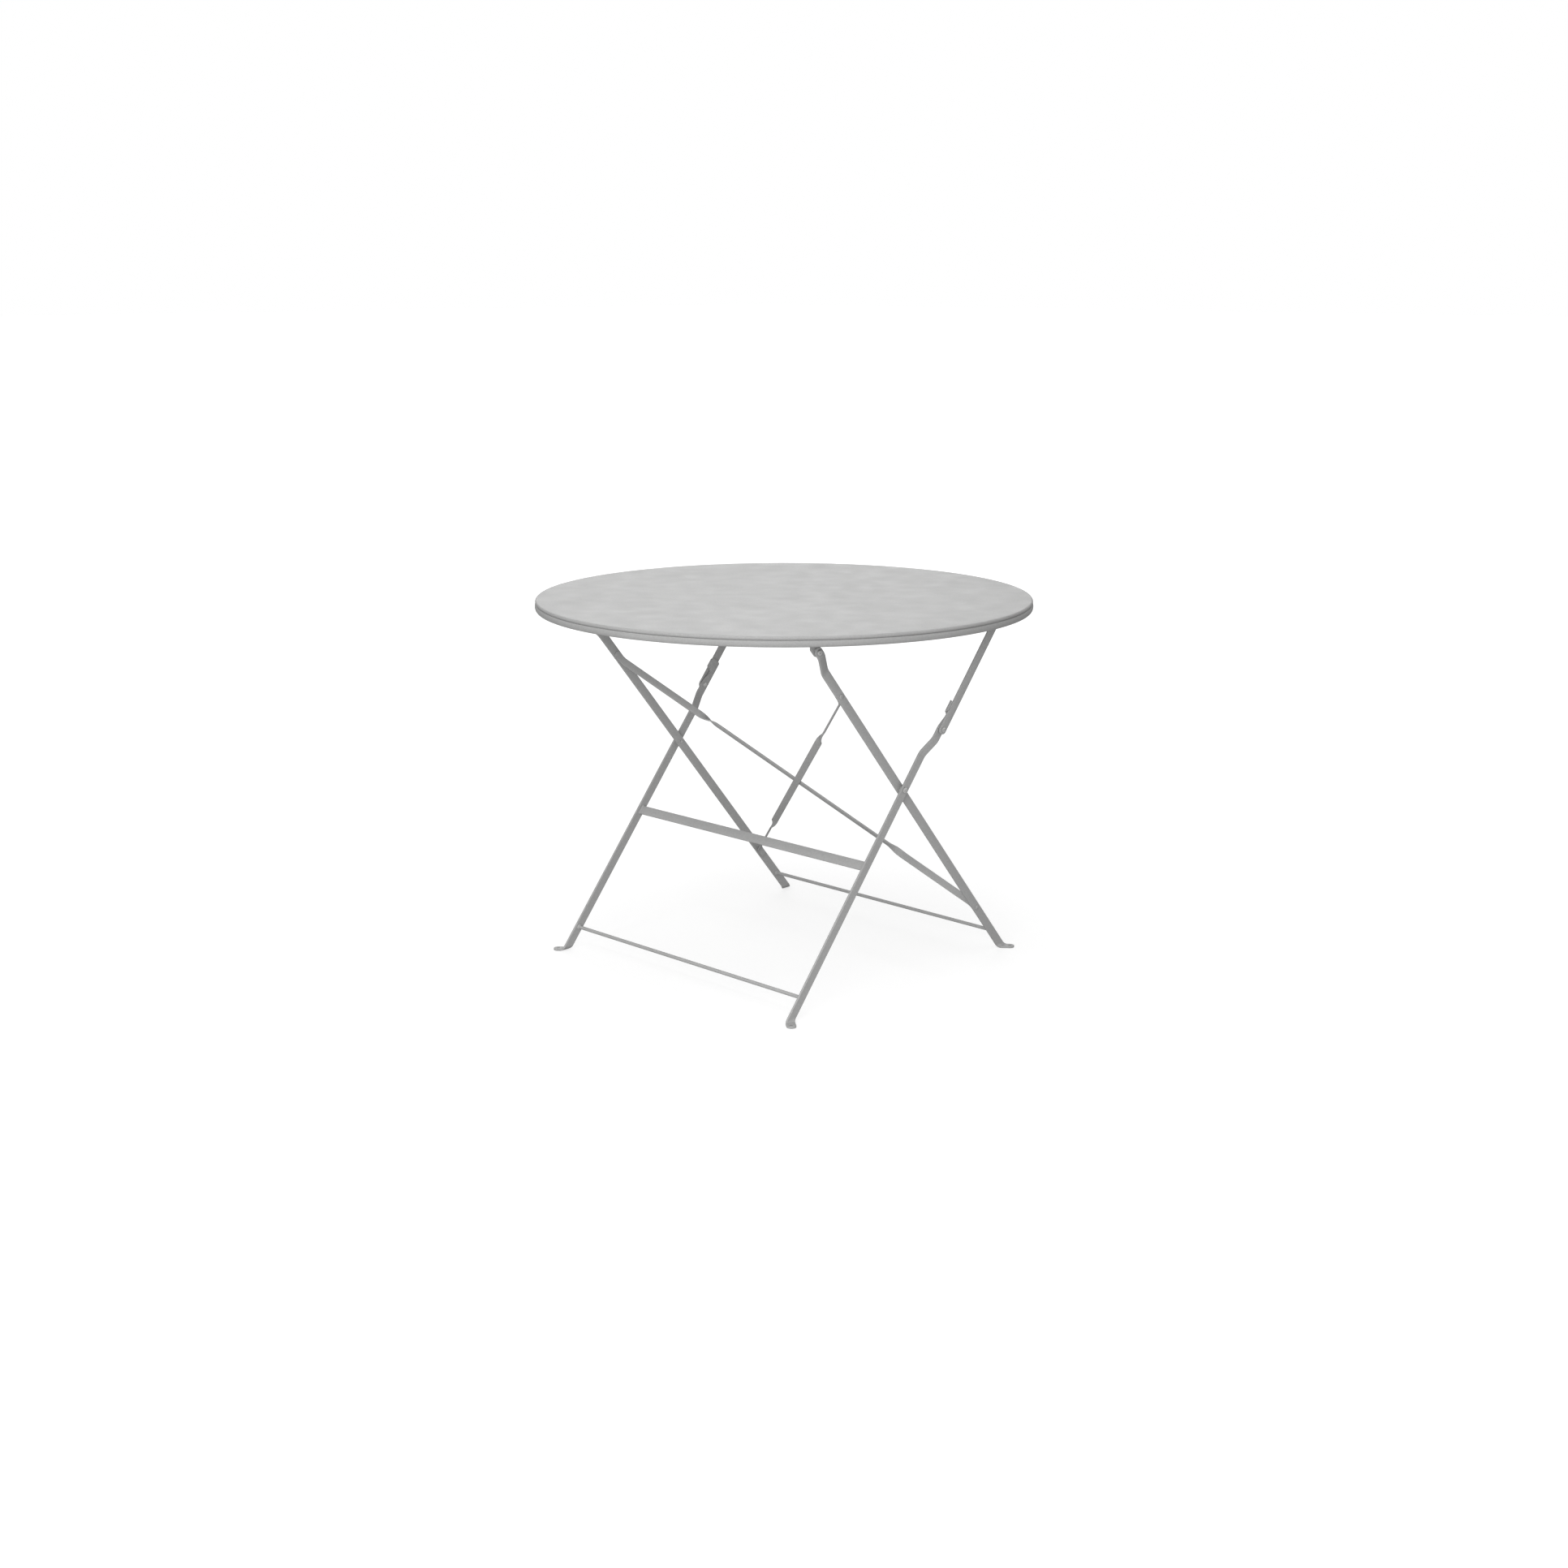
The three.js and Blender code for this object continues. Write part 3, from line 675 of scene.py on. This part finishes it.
def weld_bead(place, side):
    """A short bead in the corner between a rail's side and the sheet above it."""
    rings = []
    steps = 18
    for i in range(steps + 1):
        along = (i / steps - 0.5) * STITCH["length"]
        full = math.sqrt(max(1 - (2 * i / steps - 1) ** 4, 0.02))
        size = WELD * full * (1 + 0.12 * math.cos(i * 2.4))
        rings.append([place + Vector((side * size * math.cos(turn), along,
                                      -size * math.sin(turn)))
                      for turn in [QUARTER * j / 5 for j in range(6)]]
                     + [place + Vector((-side * 0.0005, along, 0))])
    return loft("bead", rings)


# ---- Hinges ---------------------------------------------------------------------------------

def bracket_sides(along):
    """How far a bracket's ear reaches to its narrow and its wide side, `along` above its pivot.
    The wide side slants in from its lower corner to touch the round end."""
    radius, wide, corner = EAR["radius"], EAR["wide"], EAR["corner"]
    round_side = math.sqrt(max(radius ** 2 - min(along, 0) ** 2, 0))
    touch = math.atan2(corner, wide) - math.acos(radius / math.hypot(wide, corner))
    low, side = radius * math.sin(touch), radius * math.cos(touch)
    if along < low:
        return round_side, round_side
    share = min((along - low) / (corner - low), 1)
    return round_side, side + (wide - side) * share


def make_bracket(name, hinge, away):
    """A bent bracket: an ear beside the hinge, and a flange under the rail."""
    low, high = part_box(f"bracket_{name}_right")
    section = bar_section(EAR["thickness"], edge=EAR["edge"])
    bend = EAR["bend"]
    ear_x = high.x - EAR["thickness"] / 2
    flange_z = high.z - EAR["thickness"] / 2
    rise = flange_z - bend - hinge.z
    flat = ear_x - bend - low.x

    def place(along, across, height):
        run = along - rise
        angle = min(max(run / bend, 0), QUARTER)
        past = max(run - bend * QUARTER, 0)
        reach = bend + height
        straight = min(along, rise)
        return Vector((ear_x - bend + reach * math.cos(angle) - past,
                       hinge.y + away * across,
                       hinge.z + straight + reach * math.sin(angle)))

    steps = 14
    stations = [-EAR["radius"] * math.cos(QUARTER * i / steps) for i in range(steps + 1)]
    stations += [EAR["corner"], EAR["corner"] + 0.0002, rise - 0.0005]
    stations += spread(rise, rise + bend * QUARTER, 0.0007)
    stations += spread(rise + bend * QUARTER + 0.001, rise + bend * QUARTER + flat, 0.01)
    rings = []
    for along in stations:
        narrow, wide = (max(side, EAR["least"]) for side in bracket_sides(along))
        rings.append(bar_ring(section, place, along, wide, narrow))
    return loft("bracket", rings)


def head_profile(face, out, radius, height, crown=10):
    """A low dome on `face`, growing towards `out`, 1 or -1, as a turned profile from its rim."""
    profile = [(face, radius - HEAD_BEVEL), (face + out * HEAD_BEVEL, radius)]
    for i in range(crown + 1):
        angle = i / crown * QUARTER
        rise = HEAD_SIDE + (height - HEAD_SIDE) * math.sin(angle)
        profile.append((face + out * rise, max(radius * math.cos(angle), POLE_RADIUS)))
    return profile


def make_rivet(name, node, place, head_out):
    """A domed head with its shank, in the box of the CAD rivet."""
    low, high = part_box(node)
    radius = (high.z - low.z) / 2
    head = HEAD_HEIGHT[name]
    shank = BRACE_RIVET_RADIUS if name == "brace" else PIVOT_RADIUS
    if head_out > 0:
        tip, end = high.x, low.x
    else:
        tip, end = low.x, high.x
    face = tip - head_out * head
    profile = [(end, shank - SHANK_BEVEL), (end + head_out * SHANK_BEVEL, shank), (face, shank)]
    return turned_x("rivet", profile + head_profile(face, head_out, radius, head), place)


def make_hinge_bolt(name, hinge):
    """A button head with a six-sided socket, and a shank that ends past its nut."""
    low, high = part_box(f"hinge_bolt_{name}_right")
    radius = (high.z - low.z) / 2
    head = HEAD_HEIGHT["hinge"]
    face = high.x - head
    socket = SOCKET["apothem"]
    dome = [(x, r) for x, r in head_profile(face, 1, radius, head) if r > socket * SOCKET["clear"]]
    profile = [(low.x, PIVOT_RADIUS - BOLT_BEVEL), (low.x + BOLT_BEVEL, PIVOT_RADIUS),
               (face, PIVOT_RADIUS)]
    segments = 48
    angles = [i / segments * FULL_TURN for i in range(segments)]
    rings = [[Vector((x, hinge.y + r * math.cos(angle), hinge.z + r * math.sin(angle)))
              for angle in angles] for x, r in profile + dome]
    mouth = dome[-1][0]
    for x in (mouth + SOCKET["mouth"], mouth - SOCKET["depth"]):
        rings.append([six_sided(x, hinge, socket, angle) for angle in angles])
    return loft("hinge_bolt", rings)


def six_sided(x, place, apothem, angle, limit=1.0):
    """The point of a hexagon about X at an angle, no further out than `limit`."""
    sector = (angle + math.pi / 6) % (math.pi / 3) - math.pi / 6
    radius = min(apothem / math.cos(sector), limit)
    return Vector((x, place.y + radius * math.cos(angle), place.z + radius * math.sin(angle)))


def make_nut(name, hinge):
    low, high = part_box(f"hinge_nut_{name}_right")
    corner = max(high.z - low.z, high.y - low.y) / 2
    apothem = corner * math.cos(math.pi / 6)
    segments = 60
    face = apothem * 0.97
    stations = ((low.x, face), (low.x + NUT_CHAMFER, corner),
                (high.x - NUT_CHAMFER, corner), (high.x, face))
    rings = [[six_sided(x, hinge, apothem, i / segments * FULL_TURN, limit)
              for i in range(segments)] for x, limit in stations]
    return loft("hinge_nut", rings, smooth_angle=NUT_SMOOTH_ANGLE)


def make_ring(node, place):
    """A washer or spacer: a flat ring with broken edges, round the shank that fills it."""
    low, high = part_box(node)
    radius = (high.z - low.z) / 2
    edge = RING_EDGE
    profile = [(low.x, PIVOT_RADIUS), (low.x, radius - edge), (low.x + edge, radius),
               (high.x - edge, radius), (high.x, radius - edge), (high.x, PIVOT_RADIUS)]
    return turned_x("ring", profile, place)


# ---- Materials ------------------------------------------------------------------------------

def link(tree, source, target):
    tree.links.new(source, target)


def noise(tree, scale, detail=2.0, stretch=None):
    """A noise over the piece's own place in space."""
    where = tree.nodes.new("ShaderNodeTexCoord").outputs["Object"]
    if stretch:
        mapping = tree.nodes.new("ShaderNodeMapping")
        mapping.inputs["Scale"].default_value = stretch
        link(tree, where, mapping.inputs["Vector"])
        where = mapping.outputs["Vector"]
    node = tree.nodes.new("ShaderNodeTexNoise")
    node.inputs["Scale"].default_value = scale
    node.inputs["Detail"].default_value = detail
    link(tree, where, node.inputs["Vector"])
    return node.outputs["Fac"]


def spread_from(tree, value, low, high, start=0.0, end=1.0):
    """A value from start..end, mapped to low..high."""
    node = tree.nodes.new("ShaderNodeMapRange")
    node.inputs["From Min"].default_value = start
    node.inputs["From Max"].default_value = end
    node.inputs["To Min"].default_value = low
    node.inputs["To Max"].default_value = high
    link(tree, value, node.inputs["Value"])
    return node.outputs["Result"]


def spread_to(tree, noise_value, low, high):
    """The middle stretch of a noise, mapped to low..high."""
    return spread_from(tree, noise_value, low, high, 0.3, 0.7)


def times(tree, a, b):
    node = tree.nodes.new("ShaderNodeMath")
    node.operation = "MULTIPLY"
    link(tree, a, node.inputs[0])
    link(tree, b, node.inputs[1])
    return node.outputs["Value"]


def tinted(tree, colour, shade):
    """A colour made lighter or darker by a shade about 1."""
    node = tree.nodes.new("ShaderNodeVectorMath")
    node.operation = "SCALE"
    node.inputs[0].default_value = colour
    link(tree, shade, node.inputs["Scale"])
    return node.outputs["Vector"]


def bumped(tree, height, distance, strength, under=None):
    node = tree.nodes.new("ShaderNodeBump")
    node.inputs["Distance"].default_value = distance
    node.inputs["Strength"].default_value = strength
    link(tree, height, node.inputs["Height"])
    if under:
        link(tree, under, node.inputs["Normal"])
    return node.outputs["Normal"]


def new_material(name):
    material = bpy.data.materials.new(name)
    material.use_nodes = True
    tree = material.node_tree
    shader = tree.nodes["Principled BSDF"]
    return material, tree, shader


def powder_coat(name, colour, waves):
    """Satin powder coat: clouds and fine specks in its shade, an orange-peel skin, and long low
    waves in large sheet."""
    material, tree, shader = new_material(name)
    clouds = noise(tree, scale=9, detail=3)
    specks = noise(tree, scale=330, detail=3)
    shade = times(tree, spread_to(tree, clouds, 0.97, 1.03), spread_to(tree, specks, 0.94, 1.06))
    link(tree, tinted(tree, colour, shade), shader.inputs["Base Color"])
    polish = noise(tree, scale=24, detail=3)
    link(tree, spread_to(tree, polish, 0.43, 0.52), shader.inputs["Roughness"])
    shader.inputs["Metallic"].default_value = 0.0
    shader.inputs["IOR"].default_value = 1.5
    low_waves = bumped(tree, noise(tree, scale=5), distance=waves, strength=0.5)
    skin = bumped(tree, noise(tree, scale=620), distance=0.00009, strength=0.55, under=low_waves)
    link(tree, skin, shader.inputs["Normal"])
    return material


def zinc(name, colour):
    """Zinc plating with a faint spangle and fine rub marks."""
    material, tree, shader = new_material(name)
    shade = spread_to(tree, noise(tree, scale=380, detail=3), 0.93, 1.05)
    link(tree, tinted(tree, colour, shade), shader.inputs["Base Color"])
    rubbed = noise(tree, scale=260, detail=3)
    link(tree, spread_to(tree, rubbed, 0.22, 0.36), shader.inputs["Roughness"])
    shader.inputs["Metallic"].default_value = 1.0
    marks = noise(tree, scale=300, stretch=(1, 1, 9))
    link(tree, bumped(tree, marks, distance=0.00004, strength=0.4), shader.inputs["Normal"])
    return material


# ---- Assembly -------------------------------------------------------------------------------

# top_coat and frame_coat are one paint. frame_coat's colour is set lighter than top_coat's: painted
# light, making up for the dimmer light that the frame's upright faces get.
MATERIALS = {
    "top_coat": powder_coat("top_coat", (0.365, 0.365, 0.362), 0.0006),
    "frame_coat": powder_coat("frame_coat", (0.43, 0.43, 0.427), 0.0002),
    "bright_steel": zinc("bright_steel", (0.88, 0.88, 0.87)),
}
SLOTS = {part["node"]: part["material_slot"] for part in frame["record"]["subparts"]}


def stand_for(node, mesh):
    """Shows the mesh in the place of a CAD node, on its body and in its finish."""
    piece = bpy.data.objects.new(f"fine_{node}", mesh)
    bpy.context.scene.collection.objects.link(piece)
    piece.data.materials.clear()
    piece.data.materials.append(MATERIALS[SLOTS[node]])
    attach(piece, frame["nodes"][node]["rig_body"])
    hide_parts(node)
    return piece


def stand_for_pair(name, mesh):
    stand_for(f"{name}_left", mirrored(mesh))
    stand_for(f"{name}_right", mesh)


def build_table():
    stand_for("top_sheet", make_top_sheet())
    stand_for("rim_hoop", make_rim_hoop())
    stand_for_pair("top_rail", make_rail())
    for name, hinge, away in (("a", HINGE_A, -1), ("b", HINGE_B, 1)):
        stand_for_pair(f"bracket_{name}", make_bracket(name, hinge, away))
        stand_for_pair(f"hinge_washer_{name}", make_ring(f"hinge_washer_{name}_right", hinge))
        stand_for_pair(f"hinge_bolt_{name}", make_hinge_bolt(name, hinge))
        stand_for_pair(f"hinge_nut_{name}", make_nut(name, hinge))
    stand_for_pair("leg_a", make_leg_a())
    stand_for_pair("leg_b", make_leg_b())
    stand_for_pair("knee_strut", make_strut())
    for node in ("low_rod_a", "low_rod_b"):
        stand_for(node, make_low_rod(node))
    stand_for("crossbar_b", make_crossbar())
    stand_for("brace_front", mirrored(make_brace(1, FRONT_TWISTS)))
    stand_for("brace_back", make_brace(-1, BACK_TWISTS))
    for level in ("upper", "lower"):
        node = f"brace_rivet_{level}_right"
        stand_for_pair(f"brace_rivet_{level}", make_rivet("brace", node, centre(node), 1))
    stand_for_pair("crossing_rivet", make_rivet("crossing", "crossing_rivet_right", CROSSING, 1))
    stand_for_pair("crossing_spacer", make_ring("crossing_spacer_right", CROSSING))
    stand_for_pair("knee_rivet_head", make_rivet("knee", "knee_rivet_head_right", KNEE, 1))
    stand_for_pair("knee_rivet_tail", make_rivet("knee", "knee_rivet_tail_right", KNEE, -1))


# ---- Studio ---------------------------------------------------------------------------------

def direction(azimuth, elevation):
    """The way from the table to a camera or light, its angles in radians."""
    return Vector((math.sin(azimuth) * math.cos(elevation),
                   -math.cos(azimuth) * math.cos(elevation), math.sin(elevation)))


def seen_directly(tree):
    return tree.nodes.new("ShaderNodeLightPath").outputs["Is Camera Ray"]


def make_floor():
    """A plain floor that looks white. It glows a little, and more so far from the table, so that
    shadows on it stay faint."""
    corners = [(x * FLOOR_REACH, y * FLOOR_REACH, 0)
               for x, y in ((-1, -1), (1, -1), (1, 1), (-1, 1))]
    mesh = bpy.data.meshes.new("floor")
    mesh.from_pydata(corners, [], [(0, 1, 2, 3)])
    floor = bpy.data.objects.new("floor", mesh)
    bpy.context.scene.collection.objects.link(floor)
    material, tree, shader = new_material("floor_white")
    shader.inputs["Base Color"].default_value = (FLOOR_SHADE, FLOOR_SHADE, FLOOR_SHADE, 1)
    shader.inputs["Roughness"].default_value = 0.9
    shader.inputs["Emission Color"].default_value = (1, 1, 1, 1)
    place = tree.nodes.new("ShaderNodeTexCoord").outputs["Object"]
    distance = tree.nodes.new("ShaderNodeVectorMath")
    distance.operation = "LENGTH"
    link(tree, place, distance.inputs[0])
    glow = spread_from(tree, distance.outputs["Value"], FLOOR_GLOW["near"], FLOOR_GLOW["far"],
                       FLOOR_GLOW["from"], FLOOR_GLOW["to"])
    link(tree, times(tree, glow, seen_directly(tree)), shader.inputs["Emission Strength"])
    mesh.materials.append(material)


def make_world():
    """A white surround, dimmer as a light than it looks."""
    world = bpy.data.worlds.new("studio")
    world.use_nodes = True
    tree = world.node_tree
    background = tree.nodes["Background"]
    background.inputs["Color"].default_value = (1, 1, 1, 1)
    link(tree, spread_from(tree, seen_directly(tree), ROOM_LIGHT, 1),
         background.inputs["Strength"])
    bpy.context.scene.world = world


def make_light(name, azimuth, elevation, distance, size, power, glare=True):
    """A soft round light, turned to the table. One without glare isn't mirrored in the paint."""
    back = direction(math.radians(azimuth), math.radians(elevation))
    data = bpy.data.lights.new(name, "AREA")
    data.shape = "DISK"
    data.size = size
    data.energy = power
    light = bpy.data.objects.new(name, data)
    light.location = Vector(LIGHTS_AIM) + back * distance
    light.rotation_euler = back.to_track_quat("Z", "Y").to_euler()
    light.visible_camera = False
    light.visible_glossy = glare
    bpy.context.scene.collection.objects.link(light)


def make_studio():
    make_floor()
    make_world()
    for name, light in LIGHTS.items():
        make_light(name, **light)
    bpy.context.scene.view_settings.view_transform = "Standard"


def make_camera():
    back = direction(CAMERA_AZIMUTH, CAMERA_ELEVATION)
    data = bpy.data.cameras.new("camera")
    data.sensor_width = 36
    data.lens = CAMERA_LENS
    camera = bpy.data.objects.new("camera", data)
    camera.location = CAMERA_PLACE
    camera.rotation_euler = back.to_track_quat("Z", "Y").to_euler()
    bpy.context.scene.collection.objects.link(camera)
    bpy.context.scene.camera = camera


make_camera()
make_studio()
build_table()
